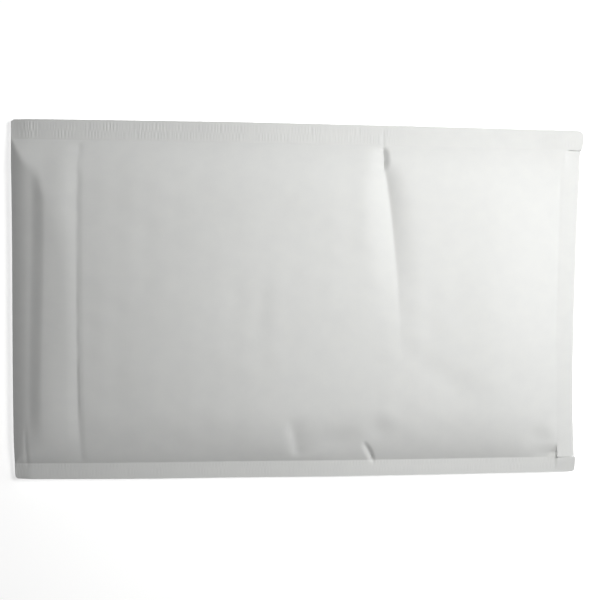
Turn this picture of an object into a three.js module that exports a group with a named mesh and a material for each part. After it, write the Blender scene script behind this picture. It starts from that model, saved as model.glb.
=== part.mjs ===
// A padded mailing envelope, closed and lying on its back: a folded paper pouch with a bubble-film
// lining, crimped shut along both long edges. Its flap is stuck down on the underside, so nothing
// moves and nothing inside can be seen: the sealed pack is one solid.
// Millimetres. +X runs towards the bottom fold, +Y towards one crimped edge and +Z up out of the
// plain face. The origin is under the middle of the pack, on the surface that it lies on.

import * as THREE from 'three';

// Overall size of the closed pack.
const LENGTH = 225;
const WIDTH = 140;
const HEIGHT = 12.5;

// The two crimped edges: paper and flattened film, pressed into one thin ribbed band.
const SEAM_HEIGHT = 4;
const SEAM_THICKNESS = 0.6;
const UPPER_SEAM_WIDTH = 8;
const LOWER_SEAM_WIDTH = 6.7;
const EDGE_BOW = 0.6;
const CORNER_RADIUS = 1.5;

// Along the length: bare paper next to the flap's fold, the lining, then the flattened bottom fold.
const MARGIN_LENGTH = 26;
const FOLD_STRIP_WIDTH = 9;
const FOLD_SETBACK = 2;
const SHOULDER_LENGTH = 34;
const SHOULDER_WIDTH = 12;
const MARGIN_FULLNESS = 0.78;
const FOLD_FULLNESS = 0.4;
const END_FULLNESS = 0.88;
const EDGE_FULLNESS = 0.72;

// Below the seams the pad bulges less, and lies flat on the surface.
const UNDER_RISE = 5.2;

// The flap, folded round the left end and stuck to the back, ends in a small step.
const FLAP_LENGTH = 50;
const FLAP_THICKNESS = 0.35;
const FLAP_STEP_RUN = 12;
const STEP_WIDTH = 0.3;

// Lines that these sizes fix.
const LEFT_END = -LENGTH / 2;
const RIGHT_END = LENGTH / 2;
const UPPER_SEAM = WIDTH / 2 - UPPER_SEAM_WIDTH;
const LOWER_SEAM = -WIDTH / 2 + LOWER_SEAM_WIDTH;
const LINING_END = LEFT_END + MARGIN_LENGTH;
const FLAP_EDGE = LEFT_END + FLAP_LENGTH;
const FOLD_LINE = RIGHT_END - FOLD_SETBACK;
const FOLD_RIDGE = FOLD_LINE - FOLD_STRIP_WIDTH;
const TOP_RISE = HEIGHT - SEAM_HEIGHT - SEAM_THICKNESS / 2;

const { clamp, lerp } = THREE.MathUtils;

/** Positions from a start through each stop, which says how many equal steps lead up to it. */
function stations(start, ...stops) {
  const positions = [start];
  for (const [end, steps] of stops) {
    const from = positions.at(-1);
    for (let step = 1; step <= steps; step += 1) {
      positions.push(lerp(from, end, step / steps));
    }
  }
  return positions;
}

/** A quarter ellipse: 0 at its foot, 1 once the distance has reached the run. */
function shoulder(distance, run) {
  const share = clamp(distance / run, 0, 1);
  return Math.sqrt(1 - (1 - share) ** 2);
}

/** How full the pack is along its length, from 0 at its ends to 1 in the middle. */
function lengthwiseFullness(x) {
  const arch = lerp(1, END_FULLNESS, (x / RIGHT_END) ** 2);
  if (x < LINING_END) {
    return MARGIN_FULLNESS * shoulder(x - LEFT_END, MARGIN_LENGTH);
  }
  if (x > FOLD_RIDGE) {
    return FOLD_FULLNESS * clamp((FOLD_LINE - x) / FOLD_STRIP_WIDTH, 0, 1);
  }
  const fromMargin = lerp(MARGIN_FULLNESS, arch, shoulder(x - LINING_END, SHOULDER_LENGTH));
  const fromFold = lerp(FOLD_FULLNESS, arch, shoulder(FOLD_RIDGE - x, SHOULDER_LENGTH));
  return Math.min(fromMargin, fromFold);
}

/** How full the pack is across its width: 0 on the crimped edges, 1 midway between them. */
function crosswiseFullness(y) {
  const fromSeam = Math.min(UPPER_SEAM - y, y - LOWER_SEAM);
  const middle = (UPPER_SEAM + LOWER_SEAM) / 2;
  const halfSpan = (UPPER_SEAM - LOWER_SEAM) / 2;
  const arch = lerp(1, EDGE_FULLNESS, ((y - middle) / halfSpan) ** 2);
  return arch * shoulder(fromSeam, SHOULDER_WIDTH);
}

function topHeight(x, y) {
  const rise = TOP_RISE * lengthwiseFullness(x) * crosswiseFullness(y);
  return SEAM_HEIGHT + SEAM_THICKNESS / 2 + rise;
}

/** The underside: pressed flat on the surface, with the flap's thickness standing out of it. */
function bottomHeight(x, y) {
  const rise = UNDER_RISE * lengthwiseFullness(x) * crosswiseFullness(y);
  const underside = SEAM_HEIGHT - SEAM_THICKNESS / 2 - rise;
  const flap = x <= FLAP_EDGE ? FLAP_THICKNESS : 0;
  const pastFlap = clamp((x - FLAP_EDGE) / FLAP_STEP_RUN, 0, 1);
  const lift = x <= FLAP_EDGE ? 0 : FLAP_THICKNESS * (1 - pastFlap);
  return Math.max(lift, underside - flap * crosswiseFullness(y));
}

/** How far a corner's rounding cuts in at a distance from the edge that runs into it. */
function cornerInset(fromEdge) {
  const inside = clamp(CORNER_RADIUS - fromEdge, 0, CORNER_RADIUS);
  return CORNER_RADIUS - Math.sqrt(CORNER_RADIUS ** 2 - inside ** 2);
}

/** The right end at y: the fold sits a little inside the two stiff crimped corners. */
function rightEnd(y) {
  const toSeam = clamp(Math.abs(y) / UPPER_SEAM, 0, 1);
  return lerp(FOLD_LINE, RIGHT_END, toSeam ** 3);
}

// Rows and columns of the skin, closest together where its form turns.
const columns = stations(
  LEFT_END,
  [LINING_END, 5],
  [FLAP_EDGE, 5],
  [FLAP_EDGE + STEP_WIDTH, 1],
  [FLAP_EDGE + FLAP_STEP_RUN, 2],
  [FOLD_RIDGE - SHOULDER_LENGTH, 9],
  [FOLD_RIDGE, 4],
  [FOLD_LINE, 2],
);
const rows = stations(
  -WIDTH / 2,
  [-WIDTH / 2 + CORNER_RADIUS, 3],
  [LOWER_SEAM, 1],
  [LOWER_SEAM + SHOULDER_WIDTH, 4],
  [UPPER_SEAM - SHOULDER_WIDTH, 9],
  [UPPER_SEAM, 4],
  [WIDTH / 2 - CORNER_RADIUS, 1],
  [WIDTH / 2, 3],
);

/** The sealed pack: a flat box with a fine grid of faces, each point moved to its place. */
function envelopeGeometry() {
  const geometry = new THREE.BoxGeometry(1, 1, 1, columns.length - 1, rows.length - 1, 1);
  const point = new THREE.Vector3();
  const places = geometry.getAttribute('position');
  for (let i = 0; i < places.count; i += 1) {
    point.fromBufferAttribute(places, i);
    const column = Math.round((point.x + 0.5) * (columns.length - 1));
    const row = Math.round((point.y + 0.5) * (rows.length - 1));
    const x = columns[column];
    const y = rows[row];
    const z = point.z > 0 ? topHeight(x, y) : bottomHeight(x, y);
    const inset = cornerInset(WIDTH / 2 - Math.abs(y));
    const along = (x - LEFT_END) / (FOLD_LINE - LEFT_END);
    const bow = EDGE_BOW * (x / RIGHT_END) ** 2;
    const spreadX = lerp(LEFT_END + inset, rightEnd(y) - inset, along);
    places.setXYZ(i, spreadX, y * (1 - bow / (WIDTH / 2)), z);
  }
  geometry.computeVertexNormals();
  return geometry;
}

const paper = new THREE.MeshStandardMaterial({ color: 0xe9e8e5, roughness: 0.85, metalness: 0 });
const envelope = new THREE.Mesh(envelopeGeometry(), paper);
envelope.name = 'padded_envelope';

const part = new THREE.Group();
part.add(envelope);

export default part;
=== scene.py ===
import math
from collections import namedtuple

import bmesh
import bpy
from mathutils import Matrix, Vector, noise


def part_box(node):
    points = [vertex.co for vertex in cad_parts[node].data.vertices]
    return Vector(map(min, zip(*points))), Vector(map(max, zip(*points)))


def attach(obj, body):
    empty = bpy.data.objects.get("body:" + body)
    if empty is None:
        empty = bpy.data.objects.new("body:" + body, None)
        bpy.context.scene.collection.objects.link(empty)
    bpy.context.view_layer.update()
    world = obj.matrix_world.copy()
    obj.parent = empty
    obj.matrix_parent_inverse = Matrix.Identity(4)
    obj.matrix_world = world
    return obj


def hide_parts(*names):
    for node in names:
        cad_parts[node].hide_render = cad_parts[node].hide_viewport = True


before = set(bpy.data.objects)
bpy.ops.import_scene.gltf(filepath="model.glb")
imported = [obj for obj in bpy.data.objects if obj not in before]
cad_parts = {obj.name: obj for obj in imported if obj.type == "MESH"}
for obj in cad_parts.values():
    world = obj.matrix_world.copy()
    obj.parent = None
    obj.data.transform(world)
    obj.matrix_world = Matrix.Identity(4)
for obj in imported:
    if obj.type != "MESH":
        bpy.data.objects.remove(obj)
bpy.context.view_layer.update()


# ---- Paper pouch, flat --------------------------------------------------------------------
# One web of white paper, folded over at the bottom end so that it lies on itself. It starts
# flat, as a face sheet and a back sheet of small faces, with rows and columns closest together
# where the paper will turn sharply. Sizes are in millimetres until the pouch is finished.

MM = 0.001
low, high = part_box("padded_envelope")
LENGTH = (high.x - low.x) / MM
WIDTH = (high.y - low.y) / MM
THICKNESS = (high.z - low.z) / MM

LEFT_END = -LENGTH / 2 + 0.25      # the fold that the flap hangs on
FOLD_LINE = LENGTH / 2 - 2.1       # the bottom fold, at mid width
STRIP_EDGE = FOLD_LINE - 7.5       # the ridge where the lining's folded end begins
UPPER_SEAM = WIDTH / 2 - 8.0       # inner line of each crimped edge
LOWER_SEAM = -WIDTH / 2 + 6.7
LINING_END = LEFT_END + 25.75      # where the bubble film stops, inside
FLAP_TIP = LEFT_END + 49.75
FLAP_SIDE = WIDTH / 2 - 2.2
SEAM_HEIGHT = 4.0                  # middle of the crimped edges, above the table
PLY = 0.5                          # both papers with the flattened film between them
FLAP_PLY = 0.4                     # the flap and its glue, a little thicker than they really are
SEAM_TURN = 0.15                   # the paper turns up from the flat crimp within this
RIDGE_TURN = 0.3                   # and over the strip's ridge within this

COARSE = 1.4                       # size of the faces where the paper is smooth
FINE = 0.55                        # and where it is buckled or climbs steeply
BUCKLED_FROM = 20.0                # the buckled stretch of the face
BUCKLED_TO = 46.0
STRIP_NEARBY = 98.0
LOWER_SLOPE_TOP = -50.0
UPPER_SLOPE_FOOT = 46.0
CRIMP_INSET = 0.2                  # the ribs start this far outside the seam's inner line
CRIMP_CUTS = ((1, 0.4, 0.7), (4, 0.7, 2.0))    # cuts for an edge between these two lengths
NEAR = 0.01                        # places closer than this are the same


def stations(start, *stops):
    """Places from a start through each stop, in equal steps of about the size given with it."""
    places = [start]
    for stop, step in stops:
        begin = places[-1]
        count = max(1, round((stop - begin) / step))
        places += [begin + (stop - begin) * n / count for n in range(1, count + 1)]
    return places


columns = stations(
    LEFT_END,
    (LINING_END + 2.5, FINE), (FLAP_TIP, COARSE), (BUCKLED_FROM, COARSE), (BUCKLED_TO, FINE),
    (STRIP_NEARBY, COARSE), (STRIP_EDGE - RIDGE_TURN, 0.45), (STRIP_EDGE, RIDGE_TURN),
    (FOLD_LINE, 0.45),
)
rows = stations(
    -WIDTH / 2,
    (-FLAP_SIDE, 0.75), (LOWER_SEAM - 0.9, 0.8), (LOWER_SEAM, 0.45),
    (LOWER_SEAM + SEAM_TURN, SEAM_TURN), (LOWER_SEAM + 0.9, 0.38), (LOWER_SLOPE_TOP, 0.7),
    (UPPER_SLOPE_FOOT, COARSE), (UPPER_SEAM - 1.0, 0.75), (UPPER_SEAM - SEAM_TURN, 0.43),
    (UPPER_SEAM, SEAM_TURN), (UPPER_SEAM + 0.6, 0.3), (FLAP_SIDE, 0.8), (WIDTH / 2, 0.75),
)


def flat_sheet(bm, height):
    """One sheet of the pouch, cut finer along its two crimped edges."""
    made = bmesh.ops.create_grid(
        bm, x_segments=len(columns) - 1, y_segments=len(rows) - 1, size=1.0
    )
    for vert in made["verts"]:
        column = round((vert.co.x + 1) / 2 * (len(columns) - 1))
        row = round((vert.co.y + 1) / 2 * (len(rows) - 1))
        vert.co = (columns[column], rows[row], height)
    edges = {edge for vert in made["verts"] for edge in vert.link_edges}
    for cuts, shortest, longest in CRIMP_CUTS:
        crimped = []
        for edge in sorted(edges, key=lambda e: e.index):
            a, b = (vert.co for vert in edge.verts)
            in_lower = max(a.y, b.y) < LOWER_SEAM - CRIMP_INSET
            in_upper = min(a.y, b.y) > UPPER_SEAM + CRIMP_INSET
            lengthwise = abs(a.y - b.y) < NEAR and shortest < abs(a.x - b.x) <= longest
            if (in_lower or in_upper) and lengthwise:
                crimped.append(edge)
        edges -= set(crimped)
        bmesh.ops.subdivide_edges(bm, edges=crimped, cuts=cuts)


pouch = bmesh.new()
flat_sheet(pouch, -PLY / 2)


# ---- Flap ---------------------------------------------------------------------------------
# The face sheet runs on past the left end as a flap, folded round and stuck down on the back
# sheet. It is one more layer of the same paper, a little narrower at its tip than at its fold,
# with rounded corners.

FLAP_TIP_SIDE = FLAP_SIDE - 5.0
FLAP_CORNER = 6.0
FLAP_RELIEF = 14.0      # the back sheet's faces take up the flap's outline within this


def blend(a, b, share):
    return a + (b - a) * share


def ease(value, start, end):
    """Goes smoothly from 0 at start to 1 at end."""
    share = min(max((value - start) / (end - start), 0.0), 1.0)
    return share * share * (3 - 2 * share)


def round_corner(from_edge, radius):
    """How far a corner of this radius cuts in, at a distance from the edge beside it."""
    inside = min(max(radius - from_edge, 0.0), radius)
    return radius - math.sqrt(radius ** 2 - inside ** 2)


def flap_outline(x, y):
    """Where a point of the plain back sheet goes, so that its rows follow the flap's outline."""
    relief = 1 - ease(x, FLAP_TIP, FLAP_TIP + FLAP_RELIEF)
    along = min((x - LEFT_END) / (FLAP_TIP - LEFT_END), 1.0)
    side = blend(FLAP_SIDE, FLAP_TIP_SIDE, along * relief)
    if abs(y) <= FLAP_SIDE:
        moved_y = y * side / FLAP_SIDE
    else:
        outside = (WIDTH / 2 - abs(y)) / (WIDTH / 2 - FLAP_SIDE)
        moved_y = math.copysign(WIDTH / 2 - outside * (WIDTH / 2 - side), y)
    inset = round_corner(FLAP_SIDE - abs(y), FLAP_CORNER) if abs(y) < FLAP_SIDE else FLAP_CORNER
    outer = ease(abs(y), WIDTH / 2, FLAP_SIDE)
    return x - inset * outer * relief * along ** 4, moved_y


flap_faces = [
    face
    for face in pouch.faces
    if face.calc_center_median().x < FLAP_TIP and abs(face.calc_center_median().y) < FLAP_SIDE
]
for vert in pouch.verts:
    vert.co.x, vert.co.y = flap_outline(vert.co.x, vert.co.y)
flap = bmesh.ops.extrude_face_region(pouch, geom=flap_faces)
flap_verts = [item for item in flap["geom"] if isinstance(item, bmesh.types.BMVert)]
bmesh.ops.translate(pouch, verts=flap_verts, vec=(0, 0, -FLAP_PLY))
bmesh.ops.delete(pouch, geom=[face for face in flap_faces if face.is_valid], context="FACES")


# ---- Edge ---------------------------------------------------------------------------------
# The two sheets meet round the pack's edge. At both ends the paper is folded, so the edge is
# round; along the crimped sides the two cut papers show, with a fine groove of film between.

FOLD_BULGE = 0.12
FILM_GROOVE = 0.15
WALL_CUTS = 3
ON_SHEET = 0.9          # share of the half thickness past which a point belongs to a sheet

flat_sheet(pouch, PLY / 2)
rim = [edge for edge in pouch.edges if edge.is_boundary]
bmesh.ops.bridge_loops(pouch, edges=rim)
uprights = [
    edge
    for edge in pouch.edges
    if abs(edge.verts[0].co.z + edge.verts[1].co.z) < NEAR
    and abs(edge.verts[0].co.z - edge.verts[1].co.z) > NEAR
]
bmesh.ops.subdivide_edges(pouch, edges=uprights, cuts=WALL_CUTS, use_grid_fill=True)
for vert in pouch.verts:
    from_middle = abs(vert.co.z) / (PLY / 2)
    if from_middle > ON_SHEET:
        continue
    if abs(vert.co.y) > WIDTH / 2 - NEAR:
        vert.co.y -= math.copysign(FILM_GROOVE * (1 - from_middle), vert.co.y)
    else:
        vert.co.x += math.copysign(FOLD_BULGE * math.sqrt(1 - from_middle ** 2), vert.co.x)
bmesh.ops.recalc_face_normals(pouch, faces=pouch.faces[:])


# ---- Bubble-film lining -------------------------------------------------------------------
# Two layers of bubble film inside the paper hold it apart. They fill the pack between the
# crimped edges, stop short of the flap's fold, and are folded over at the bottom end, where
# they push the paper up into a narrow sloping strip. The back lies pressed flat on the table.

TOP_RISE = THICKNESS - SEAM_HEIGHT - PLY / 2
UNDER_RISE = 4.9           # how far the film would push the back down if no table were there
MIDDLE = (UPPER_SEAM + LOWER_SEAM) / 2
FILM_RUN = 72.0            # over which the face climbs from the margin to its full height
FILM_SAG = 0.1             # share of that height lost towards both ends
UPPER_RUN = 24.0           # run of the shoulder beside each crimped edge
LOWER_RUN = 22.0
SHOULDER_SHARE = 0.56      # the shoulders' part of the height; the rest is one arch

MARGIN_RISE = 6.6
MARGIN_CLIMBS = ((1.4, 6.5), (2.8, 16.5))    # rise and run of its first slopes
MARGIN_STEP = 1.25         # a soft step along the margin, which wavers
STEP_PLACE = 10.2
STEP_HALF = 3.0
STEP_WAVER = 0.7
STEP_WAVE = 26.0
LAST_CLIMB = (9.5, 26.0)   # the margin takes up the rest of its rise between these
STEP_UPPER_END = (10.0, 20.0)    # it comes in between these distances from each crimped edge
STEP_LOWER_END = (1.3, 19.3)
MARGIN_UPPER_RUN = 36.0    # the bare paper climbs more slowly, so that its corner forms a hip
MARGIN_LOWER_RUN = 28.0
NEAR_FILM = 14.0
UPPER_HIP = 0.5            # softness of the bend where its end slope meets its side slope
LOWER_HIP = 2.5
HIP_CHANGE = (-10.0, -40.0)

VALLEY_DEPTH = 0.3         # the crease where the film ends
VALLEY_MARGIN_SIDE = 4.6
VALLEY_FILM_SIDE = 2.4
VALLEY_UPPER_FADE = 3.0
VALLEY_LOWER_FADE = 2.0
VALLEY_FAINT_AT = 53.5     # it is faint here, beside the upper crimped edge
VALLEY_FAINT = 0.6
VALLEY_LOWER_LOSS = 0.4    # and weaker along the last of its lower end
VALLEY_LOSS_FROM = (-50.0, -58.0)

STRIP_RISE = 2.0
STRIP_ROUNDNESS = 0.28
STRIP_RUN = 33.0           # over which the face comes down to the strip
STRIP_LOWER_END = 0.78     # the strip's lower end keeps this share of its height
STRIP_HELD = (-20.0, -50.0)
STRIP_DIP = 0.8            # its upper end lies below the stiff crimped corner
DIP_FROM = 13.0            # the dip starts this far from the seam,
DIP_DEEPEST = 2.8          # is deepest here,
DIP_RETURN = 0.35          # and has given back this share of its depth
DIP_RETURNED = 0.6         # here, before the corner turns up
DIP_RUN = 4.9              # from the ridge towards the bottom fold
CORNER_TURN = 0.57         # the corner stands up from the strip within this

BUBBLE_PITCH = 11.0
BUBBLE_SHOW = 0.04         # how much the bubbles lift the paper
SLOW_WAVE = 0.3
QUICK_WAVE = 0.1


def climb(distance, run):
    """Leaves its foot at a slant and levels off at 1 after the run."""
    left = 1 - min(max(distance / run, 0.0), 1.0)
    return 1 - left * left


def across(y):
    """Share of the full height at y, from 0 on the crimped edges to 1 midway."""
    shoulder = min(climb(UPPER_SEAM - y, UPPER_RUN), climb(y - LOWER_SEAM, LOWER_RUN))
    arch = 1 - ((y - MIDDLE) / (UPPER_SEAM - MIDDLE)) ** 2
    return blend(max(arch, 0.0), shoulder, SHOULDER_SHARE)


def margin_rise(x, y):
    """Unlined paper beside the flap's fold: it climbs in soft steps to the end of the film."""
    from_end = x - LEFT_END
    from_upper = UPPER_SEAM - y
    from_lower = y - LOWER_SEAM
    rise = sum(height * climb(from_end, run) for height, run in MARGIN_CLIMBS)
    step = MARGIN_STEP * ease(from_upper, *STEP_UPPER_END) * ease(from_lower, *STEP_LOWER_END)
    step_at = STEP_PLACE + STEP_WAVER * math.sin(y / STEP_WAVE)
    rise += step * ease(from_end, step_at - STEP_HALF, step_at + STEP_HALF)
    rest = MARGIN_RISE - step - sum(height for height, run in MARGIN_CLIMBS)
    rise += rest * ease(from_end, *LAST_CLIMB)
    near_film = ease(x, LINING_END - NEAR_FILM, LINING_END)
    upper_run = blend(MARGIN_UPPER_RUN, UPPER_RUN, near_film)
    side = min(climb(from_upper, upper_run), climb(from_lower, MARGIN_LOWER_RUN))
    side = MARGIN_RISE * blend(side, across(y), near_film)
    softness = blend(UPPER_HIP, LOWER_HIP, ease(y, *HIP_CHANGE))
    overlap = max(softness - abs(rise - side), 0.0)
    return min(rise, side) - overlap ** 2 / (4 * softness) * ease(side, 0, softness)


def lining_crease(x, y):
    """A sharp valley where the film ends, with the paper running down to it from the margin."""
    from_film = x - LINING_END
    strength = ease(UPPER_SEAM - y, 0, VALLEY_UPPER_FADE) * ease(y - LOWER_SEAM, 0, VALLEY_LOWER_FADE)
    faint = VALLEY_FAINT * ease(abs(y - VALLEY_FAINT_AT), 6, 2)
    strength *= 1 - faint - VALLEY_LOWER_LOSS * ease(y, *VALLEY_LOSS_FROM)
    width = VALLEY_MARGIN_SIDE if from_film < 0 else VALLEY_FILM_SIDE
    return -VALLEY_DEPTH * strength * max(0.0, 1 - abs(from_film) / width) ** 1.5


def film_rise(x):
    """Height of the lined part at mid width, from the margin's end to the strip's ridge."""
    full = TOP_RISE * (1 - FILM_SAG * (x / STRIP_EDGE) ** 2)
    from_margin = blend(MARGIN_RISE, full, climb(x - LINING_END, FILM_RUN))
    from_strip = blend(STRIP_RISE, full, climb(STRIP_EDGE - x, STRIP_RUN))
    return min(from_margin, from_strip)


def lower_end(y, turn):
    """Share of its height that the strip's lower part keeps, up to a turn above the crimp."""
    return STRIP_LOWER_END * ease(y, LOWER_SEAM, LOWER_SEAM + turn) * ease(y, *STRIP_HELD)


def strip_rise(x, y):
    """The sloping strip beside the bottom fold, which keeps its height right up to its ends."""
    share = min(max((FOLD_LINE - x) / (FOLD_LINE - STRIP_EDGE), 0.0), 1.0)
    slope = STRIP_RISE * blend(share, math.sqrt(1 - (1 - share) ** 2), STRIP_ROUNDNESS)
    return slope * max(across(y), lower_end(y, SEAM_TURN))


def strip_dip(x, y):
    """How far the strip's upper end, both sheets of it, hangs below the crimped corner."""
    from_seam = UPPER_SEAM - y
    depth = ease(from_seam, DIP_FROM, DIP_DEEPEST)
    depth -= DIP_RETURN * ease(from_seam, DIP_DEEPEST, DIP_RETURNED)
    depth *= ease(from_seam, 0, CORNER_TURN)
    return STRIP_DIP * depth * ease(x, STRIP_EDGE - RIDGE_TURN, STRIP_EDGE + DIP_RUN)


def bubbles(x, y):
    """The film's bubbles, in staggered rows, only just felt through the paper."""
    turn = 2 * math.pi / BUBBLE_PITCH
    third = math.sqrt(3) / 2
    rows_of = (x, x / 2 + third * y, x / 2 - third * y)
    waves = sum(math.cos(turn * along) for along in rows_of)
    patch = 0.5 + noise.noise(Vector((x / 31, y / 27, 4.0)))
    return BUBBLE_SHOW * waves * patch


def sheet_waves(x, y, layer):
    """The paper's own slow unevenness."""
    slow = noise.noise(Vector((x / 34, y / 28, layer)))
    quick = noise.noise(Vector((x / 11, y / 13, layer + 20)))
    return SLOW_WAVE * slow + QUICK_WAVE * quick


# ---- Crimped edges ------------------------------------------------------------------------
# Both long edges are pressed between toothed rollers in two staggered rows of short ribs,
# which glue paper to film. The press takes unevenly, so the ribs come and go.

RIB_PITCH = 1.25
RIB_DEPTH = 0.09
RIB_ROW = 3.1           # length of the ribs in one row
RIB_INSET = 1.2         # from the cut edge to the first row
RIB_RAMP = 0.6          # the ribs of a row rise and fall within this
RIB_LEAD = 0.1
RIB_SLIP = 0.7
MEAN_PRESS = 0.4
PRESS_CHANGE = 1.2
WEAKEST_PRESS = 0.05
LOWER_PRESS = 0.35      # the lower edge is pressed lightly all along
UPPER_PRESS = 0.3       # the upper one only between the long crease and the bottom fold
LIGHTLY_FROM = 50.0
STIFF_REACH = 10.0      # the crimped edges' own form runs this far into the pack
SEAM_SAG = 0.5
CORNER_DROOP = 0.4      # shares of the sag added towards the corners
FLAP_END_CURL = 1.6
CORNER_LIFT = 0.55      # the stiff corners beside the strip are pushed up
LIFT_FROM = STRIP_EDGE - 9.9
LIFT_FULL = STRIP_EDGE - 0.9


def crimp(x, y):
    """Height of the ribs, the same on both sheets because they are pressed as one."""
    from_edge = WIDTH / 2 - abs(y)
    seam_width = WIDTH / 2 - (UPPER_SEAM if y > 0 else -LOWER_SEAM)
    row = 0 if from_edge < RIB_INSET + RIB_ROW else 1
    begin = RIB_INSET + row * RIB_ROW
    end = begin + RIB_ROW
    window = ease(from_edge, begin - RIB_LEAD, begin - RIB_LEAD + RIB_RAMP)
    window *= ease(from_edge, end, end - RIB_RAMP)
    window *= ease(from_edge, seam_width, seam_width - RIB_RAMP)
    patch = noise.noise(Vector((x / 6, row * 5, math.copysign(3, y))))
    press = min(max(MEAN_PRESS + PRESS_CHANGE * patch, WEAKEST_PRESS), 1.0)
    if y > 0:
        press *= blend(UPPER_PRESS, 1, ease(x, LIGHTLY_FROM, BUCKLED_FROM))
    else:
        press *= LOWER_PRESS
    slip = RIB_SLIP * noise.noise(Vector((x / 2.3, row * 7, math.copysign(6, y))))
    return RIB_DEPTH * window * press * math.sin(2 * math.pi * (x / RIB_PITCH + row / 2 + slip))


def corner_lift(x, y):
    """How far the two stiff corners beside the strip stand up, the upper one over its end."""
    beside = ease(y, UPPER_SEAM - STIFF_REACH, UPPER_SEAM)
    over_strip = ease(y, UPPER_SEAM - CORNER_TURN, UPPER_SEAM)
    upper = blend(beside, over_strip, ease(x, STRIP_EDGE + 0.8, STRIP_EDGE + 2.4))
    upper *= ease(x, LIFT_FROM, LIFT_FULL)
    lower = ease(x, STRIP_EDGE - 1, STRIP_EDGE) * ease(y, -WIDTH / 2, LOWER_SEAM)
    lower *= ease(y, LOWER_SEAM + SEAM_TURN, LOWER_SEAM)
    return CORNER_LIFT * (upper + lower)


def seam_wave(x, y):
    """The stiff edges wave a little, hang lower towards the corners and lift beside the strip."""
    out = ease(abs(y), UPPER_SEAM - STIFF_REACH, WIDTH / 2)
    wave = noise.noise(Vector((x / 48, math.copysign(9, y), 2.0)))
    wave -= CORNER_DROOP * ease(abs(x), 70, LENGTH / 2)
    wave -= FLAP_END_CURL * ease(x, LEFT_END + 7, LEFT_END - 1)
    return out * SEAM_SAG * wave + corner_lift(x, y)


# ---- Creases and dents --------------------------------------------------------------------
# Handling has buckled the face where the film gives way: a long crease from the upper edge,
# a pinched pleat at each crimped edge beside it, and softer dents. A crease is a bent line;
# its two sides run out within the widths given, towards the flap and towards the bottom fold.

Crease = namedtuple("Crease", "start end bow depth flap_side fold_side fade_in fade_out")
BLUNT_END = 0.45        # share of its full width that a crease has at its ends

FACE_CREASES = (
    Crease((30.6, 57.5), (38.0, -24.0), 1.0, -2.4, 13.0, 10.0, 0.12, 0.85),    # long crease
    Crease((31.0, 62.2), (30.7, 50.5), 0.5, -2.0, 8.0, 2.2, 0.25, 0.4),        # pinched pleat
    Crease((30.9, 68.6), (31.1, 61.0), 0.0, -0.2, 1.7, 0.9, 0.3, 0.1),         # nick over the seam
    Crease((23.6, -54.5), (29.0, -65.2), 0.6, -1.1, 2.6, 1.5, 0.35, 0.3),      # lower pleat
    Crease((-6.6, -43.0), (-1.6, -62.8), 0.4, -0.7, 4.0, 10.0, 0.4, 0.2),      # lower dent
    Crease((-107.0, -46.0), (-107.6, -66.0), 0.0, -0.25, 1.6, 2.0, 0.3, 0.2),  # by the flap's fold
    Crease((102.3, 57.0), (101.8, -35.0), 0.3, -0.25, 2.5, 1.3, 0.1, 0.6),     # beside the strip
)

Dent = namedtuple("Dent", "x y length width angle depth")

FACE_DENTS = (
    Dent(30.5, -50.0, 7.0, 6.0, 0, -0.55),      # above the lower pleat
    Dent(12.0, -54.0, 16.0, 6.0, 5, -0.45),     # between the lower pleat and the lower dent
    Dent(96.8, -55.5, 9.0, 6.0, -35, -0.8),     # at the strip's lower end
    Dent(101.3, -61.4, 2.0, 1.5, 60, -0.4),
    Dent(56.0, -30.0, 24.0, 6.5, -33, -0.30),   # where the long crease runs out
    Dent(26.5, 20.0, 30.0, 5.0, -86, 0.16),     # swelling along the long crease
    Dent(-11.5, -4.0, 18.0, 5.5, 90, 0.17),
    Dent(-17.5, -2.0, 14.0, 4.0, 80, -0.14),
    Dent(-26.0, 3.0, 6.0, 4.0, -30, -0.16),
    Dent(-60.0, 27.0, 6.0, 5.0, 20, -0.13),
    Dent(-61.0, 7.0, 7.0, 5.0, 10, -0.13),
    Dent(-10.0, 37.0, 7.0, 5.0, 40, -0.14),
    Dent(10.7, -8.0, 5.0, 4.0, 70, -0.14),
)

BACK_CREASES = (
    Crease((52.0, 62.0), (44.0, 12.0), 1.5, 0.55, 7.0, 8.0, 0.1, 0.5),
    Crease((-20.0, -63.0), (-14.0, -38.0), -0.8, 0.45, 5.0, 4.0, 0.15, 0.5),
)


def crease_height(x, y, crease):
    """What one crease adds at a point: most on its line, and nothing past its sides and ends."""
    (x0, y0), (x1, y1) = crease.start, crease.end
    length = math.hypot(x1 - x0, y1 - y0)
    step_x, step_y = (x1 - x0) / length, (y1 - y0) / length
    along = ((x - x0) * step_x + (y - y0) * step_y) / length
    if not 0 < along < 1:
        return 0.0
    aside = (y - y0) * step_x - (x - x0) * step_y - crease.bow * 4 * along * (1 - along)
    leaf = blend(BLUNT_END, 1, math.sqrt(4 * along * (1 - along)))
    near = 1 - abs(aside) / ((crease.fold_side if aside > 0 else crease.flap_side) * leaf)
    if near <= 0:
        return 0.0
    fade = ease(along, 0, crease.fade_in) * ease(along, 1, 1 - crease.fade_out)
    return crease.depth * fade * near * near


def dent_height(x, y, dent):
    """What one dent, or swelling where its depth is above 0, adds at a point."""
    turn = math.radians(dent.angle)
    dx, dy = x - dent.x, y - dent.y
    along = (dx * math.cos(turn) + dy * math.sin(turn)) / dent.length
    aside = (dy * math.cos(turn) - dx * math.sin(turn)) / dent.width
    return dent.depth * math.exp(-2 * (along ** 2 + aside ** 2))


# ---- Pouch in its real form ---------------------------------------------------------------
# The lining, crimps and creases together set the height of every point of both sheets, and the
# outline gets its real waver: slightly bowed sides, a bottom fold set back between two stiff
# crimped corners, and small corner radii.

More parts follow.
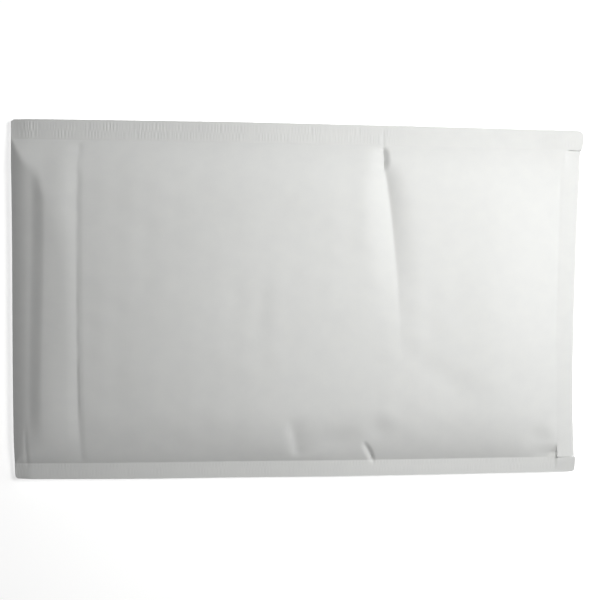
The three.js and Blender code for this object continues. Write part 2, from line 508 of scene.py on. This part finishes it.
THINNEST = 0.35            # two papers pressed together, where a pleat reaches the back
CONTACT_SOFTNESS = 0.35    # the back comes down on the table as softly as this
SLACK_AT = 0.5             # share of the rise past which the paper is slack enough to ripple
TAUT_BY_FLAP = 8.0         # it is pulled tight this near the flap's fold
TAUT_BY_STRIP = 12.0       # and this near the strip
FACE_TURN = 7.0            # the face beside the strip's lower end rounds off within this
FACE_FILM_STEP = 0.2       # the film's end shows sharply on the face, and softly on the back
BACK_FILM_STEP = 3.0
STRIP_UNDER = 0.8          # the strip's back hangs as far as this share of its front rises
FLAP_STEP = (0.5, 16.0)    # past the flap's tip the back comes down to the table between these

FOLD_SETBACK = 1.8         # the middle of the bottom fold lies this far behind its two ends
SETBACK_MIDDLE = 5.0
UPPER_CORNER = 0.8         # each stiff crimped corner juts out past the end of the fold
UPPER_NOTCH = 0.5          # with a small notch between them at the upper one
LOWER_CORNER = 0.4
FLAP_FOLD_WAVER = 0.25
WAVER_HALF = 80.0          # half a wave of the flap's fold
BOTTOM_END = (75.0, 104.0) # each end's own outline begins and is complete at these
FLAP_END = (-80.0, -108.0)
ROUNDED_END = (104.0, 110.0)
BIG_RADIUS = 2.4
SMALL_RADIUS = 1.2
SIDE_BOW = 0.6
BOWED_FROM = 58.0

SHARP_FOLD = 50            # degrees, past which a fold shows as an edge


def face_height(x, y):
    """Height of the pack's face above the table."""
    lined = ease(x, LINING_END - FACE_FILM_STEP, LINING_END + FACE_FILM_STEP)
    beside_strip = max(across(y), lower_end(y, FACE_TURN))
    share = blend(across(y), beside_strip, ease(x, STRIP_EDGE - TAUT_BY_STRIP, STRIP_EDGE))
    pad = blend(margin_rise(x, y), film_rise(x) * share, lined)
    height = blend(pad, strip_rise(x, y), ease(x, STRIP_EDGE - RIDGE_TURN, STRIP_EDGE))
    slack = ease(across(y), 0.0, SLACK_AT) * ease(x, LEFT_END, LEFT_END + TAUT_BY_FLAP)
    slack *= ease(x, STRIP_EDGE, STRIP_EDGE - TAUT_BY_STRIP)
    height += slack * (bubbles(x, y) * lined + sheet_waves(x, y, 0.0))
    height += lining_crease(x, y) - strip_dip(x, y)
    height += sum(crease_height(x, y, crease) for crease in FACE_CREASES)
    height += sum(dent_height(x, y, dent) for dent in FACE_DENTS)
    return SEAM_HEIGHT + PLY / 2 + height + crimp(x, y) + seam_wave(x, y)


def back_height(x, y):
    """Height of the back sheet, which settles softly on the table or on the flap under it."""
    lined = ease(x, LINING_END - BACK_FILM_STEP, LINING_END + BACK_FILM_STEP)
    pad = blend(margin_rise(x, y), film_rise(x) * across(y), lined) * UNDER_RISE / TOP_RISE
    strip = strip_rise(x, y) * STRIP_UNDER
    drop = blend(pad, strip, ease(x, STRIP_EDGE - 3, STRIP_EDGE + 1)) + strip_dip(x, y)
    slack = ease(across(y), 0.0, SLACK_AT)
    drop -= slack * (bubbles(x, y) * lined + sheet_waves(x, y, 7.0))
    drop -= sum(crease_height(x, y, crease) for crease in BACK_CREASES)
    height = SEAM_HEIGHT - PLY / 2 - drop + crimp(x, y) + seam_wave(x, y)
    floor = FLAP_PLY * (1 - ease(x - FLAP_TIP, *FLAP_STEP))
    above = height - floor
    if above < -CONTACT_SOFTNESS:
        return floor
    if above < CONTACT_SOFTNESS:
        return floor + (above + CONTACT_SOFTNESS) ** 2 / (4 * CONTACT_SOFTNESS)
    return height


def outline(x, y):
    """Where a point of the plain rectangle lies in the pack's real outline."""
    to_corner = min(abs(y - SETBACK_MIDDLE) / (UPPER_SEAM + 6), 1.0)
    out = FOLD_SETBACK * to_corner ** 3
    if y > UPPER_SEAM:
        out += UPPER_CORNER * ease(y, UPPER_SEAM, UPPER_SEAM + 0.5) - UPPER_NOTCH
    if y < LOWER_SEAM:
        out += LOWER_CORNER * ease(y, LOWER_SEAM, LOWER_SEAM - 0.4)
    waver = FLAP_FOLD_WAVER * math.sin(math.pi * y / WAVER_HALF)
    corner = round_corner(WIDTH / 2 - abs(y), BIG_RADIUS if x > 0 and y > 0 else SMALL_RADIUS)
    moved_x = x + out * ease(x, *BOTTOM_END) + waver * ease(x, *FLAP_END)
    moved_x -= math.copysign(corner * ease(abs(x), *ROUNDED_END), x)
    side = SIDE_BOW * (2 * x / LENGTH) ** 2 * ease(abs(y), BOWED_FROM, WIDTH / 2)
    return moved_x, y - math.copysign(side, y)


for vert in pouch.verts:
    x, y, z = vert.co
    share = min(max(z / PLY + 0.5, 0.0), 1.0)
    below = min(z + PLY / 2, 0.0)
    top = face_height(x, y)
    bottom = min(back_height(x, y), top - THINNEST)
    vert.co.z = blend(bottom, top, share) + below
    vert.co.x, vert.co.y = outline(x, y)

bmesh.ops.scale(pouch, verts=pouch.verts[:], vec=(MM, MM, MM))
paper_mesh = bpy.data.meshes.new("paper_pouch")
pouch.to_mesh(paper_mesh)
pouch.free()
paper_mesh.polygons.foreach_set("use_smooth", [True] * len(paper_mesh.polygons))
paper_mesh.set_sharp_from_angle(angle=math.radians(SHARP_FOLD))
paper_pouch = bpy.data.objects.new("paper_pouch", paper_mesh)
bpy.context.scene.collection.objects.link(paper_pouch)


# ---- White paper --------------------------------------------------------------------------
# Uncoated bleached kraft paper: matt, faintly cloudy where the pulp lies thicker, with short
# fibres that catch the light.

THIN_PULP = (0.85, 0.855, 0.85, 1)
THICK_PULP = (0.87, 0.875, 0.865, 1)
PAPER_ROUGHNESS = 0.8
PAPER_SHINE = 0.3
CLOUD_SCALE = 190
FIBRE_SCALE = 1500
CROSS_FIBRE_SCALE = 1400
RELIEF_STRENGTH = 0.1
FIBRE_RELIEF = 0.08 * MM
CLOUD_RELIEF = 0.1 * MM


def paper_material():
    material = bpy.data.materials.new("white_paper")
    material.use_nodes = True
    nodes = material.node_tree.nodes
    links = material.node_tree.links
    shader = nodes["Principled BSDF"]
    shader.inputs["Roughness"].default_value = PAPER_ROUGHNESS
    shader.inputs["Specular IOR Level"].default_value = PAPER_SHINE
    place = nodes.new("ShaderNodeTexCoord")

    def noise_at(scale, detail, stretch=(1, 1, 1)):
        mapping = nodes.new("ShaderNodeMapping")
        mapping.inputs["Scale"].default_value = stretch
        links.new(place.outputs["Object"], mapping.inputs["Vector"])
        texture = nodes.new("ShaderNodeTexNoise")
        texture.inputs["Scale"].default_value = scale
        texture.inputs["Detail"].default_value = detail
        links.new(mapping.outputs["Vector"], texture.inputs["Vector"])
        return texture.outputs["Fac"]

    cloud = noise_at(CLOUD_SCALE, 4)
    fibres = noise_at(FIBRE_SCALE, 2, (1, 0.25, 1))
    cross_fibres = noise_at(CROSS_FIBRE_SCALE, 2, (0.3, 1, 1))

    tint = nodes.new("ShaderNodeValToRGB")
    tint.color_ramp.elements[0].position = 0.3
    tint.color_ramp.elements[0].color = THIN_PULP
    tint.color_ramp.elements[1].position = 0.7
    tint.color_ramp.elements[1].color = THICK_PULP
    links.new(cloud, tint.inputs["Fac"])
    links.new(tint.outputs["Color"], shader.inputs["Base Color"])

    weave = nodes.new("ShaderNodeMath")
    weave.operation = "ADD"
    links.new(fibres, weave.inputs[0])
    links.new(cross_fibres, weave.inputs[1])

    def relief(height, distance):
        bump = nodes.new("ShaderNodeBump")
        bump.inputs["Strength"].default_value = RELIEF_STRENGTH
        bump.inputs["Distance"].default_value = distance
        links.new(height, bump.inputs["Height"])
        return bump

    fibre_bump = relief(weave.outputs["Value"], FIBRE_RELIEF)
    cloud_bump = relief(cloud, CLOUD_RELIEF)
    links.new(fibre_bump.outputs["Normal"], cloud_bump.inputs["Normal"])
    links.new(cloud_bump.outputs["Normal"], shader.inputs["Normal"])
    return material


paper_mesh.materials.append(paper_material())
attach(paper_pouch, "root")
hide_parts("padded_envelope")


# ---- Table, light and camera --------------------------------------------------------------
# A plain white table that glows a little so that it stays white, a soft light close above the
# bottom fold's end, a broad one far to the right of it, and a camera that looks straight down.

TABLE_HALF = 3.0
TABLE_WHITE = (0.93, 0.93, 0.93, 1)
TABLE_ROUGHNESS = 0.9
TABLE_GLOW = 0.6
SKY_LOW = (0.45, 0.455, 0.46, 1)       # the room is light near the table's level
SKY_HIGH = (0.03, 0.03, 0.031, 1)      # and dark overhead
CAMERA_PLACE = (-0.0251, 0.0188, 0.3032)
CAMERA_TURN = (-3.43, -4.48, 0.48)     # degrees
LENS = 45.6
SENSOR_WIDTH = 36.0

floor_mesh = bpy.data.meshes.new("table_top")
floor_form = bmesh.new()
bmesh.ops.create_grid(floor_form, x_segments=1, y_segments=1, size=TABLE_HALF)
floor_form.to_mesh(floor_mesh)
floor_form.free()
table_top = bpy.data.objects.new("table_top", floor_mesh)
bpy.context.scene.collection.objects.link(table_top)
floor_material = bpy.data.materials.new("table_white")
floor_material.use_nodes = True
floor_shader = floor_material.node_tree.nodes["Principled BSDF"]
floor_shader.inputs["Base Color"].default_value = TABLE_WHITE
floor_shader.inputs["Roughness"].default_value = TABLE_ROUGHNESS
floor_shader.inputs["Emission Color"].default_value = (1, 1, 1, 1)
floor_shader.inputs["Emission Strength"].default_value = TABLE_GLOW
floor_mesh.materials.append(floor_material)


def area_light(name, place, aim, size, power, colour):
    data = bpy.data.lights.new(name, "AREA")
    data.size = size
    data.energy = power
    data.color = colour
    light = bpy.data.objects.new(name, data)
    light.location = place
    light.rotation_euler = (Vector(aim) - Vector(place)).to_track_quat("-Z", "Y").to_euler()
    bpy.context.scene.collection.objects.link(light)


area_light(
    "key_light", place=(0.13, 0.078, 0.28), aim=(0.02, 0.0, 0.0),
    size=0.11, power=0.72, colour=(1.0, 1.0, 0.98),
)
area_light(
    "side_light", place=(1.2, 0.35, 0.55), aim=(0.0, 0.0, 0.0),
    size=0.5, power=3.4, colour=(0.96, 0.98, 1.0),
)

world = bpy.data.worlds.new("studio")
world.use_nodes = True
sky_nodes = world.node_tree.nodes
sky_links = world.node_tree.links
sky_place = sky_nodes.new("ShaderNodeTexCoord")
sky_height = sky_nodes.new("ShaderNodeSeparateXYZ")
sky_shade = sky_nodes.new("ShaderNodeValToRGB")
sky_shade.color_ramp.elements[0].position = 0.1
sky_shade.color_ramp.elements[0].color = SKY_LOW
sky_shade.color_ramp.elements[1].position = 0.38
sky_shade.color_ramp.elements[1].color = SKY_HIGH
sky_links.new(sky_place.outputs["Generated"], sky_height.inputs["Vector"])
sky_links.new(sky_height.outputs["Z"], sky_shade.inputs["Fac"])
sky_links.new(sky_shade.outputs["Color"], sky_nodes["Background"].inputs["Color"])
bpy.context.scene.world = world
bpy.context.scene.view_settings.view_transform = "Standard"

camera_data = bpy.data.cameras.new("camera")
camera_data.sensor_width = SENSOR_WIDTH
camera_data.lens = LENS
camera = bpy.data.objects.new("camera", camera_data)
camera.location = CAMERA_PLACE
camera.rotation_euler = [math.radians(angle) for angle in CAMERA_TURN]
bpy.context.scene.collection.objects.link(camera)
bpy.context.scene.camera = camera
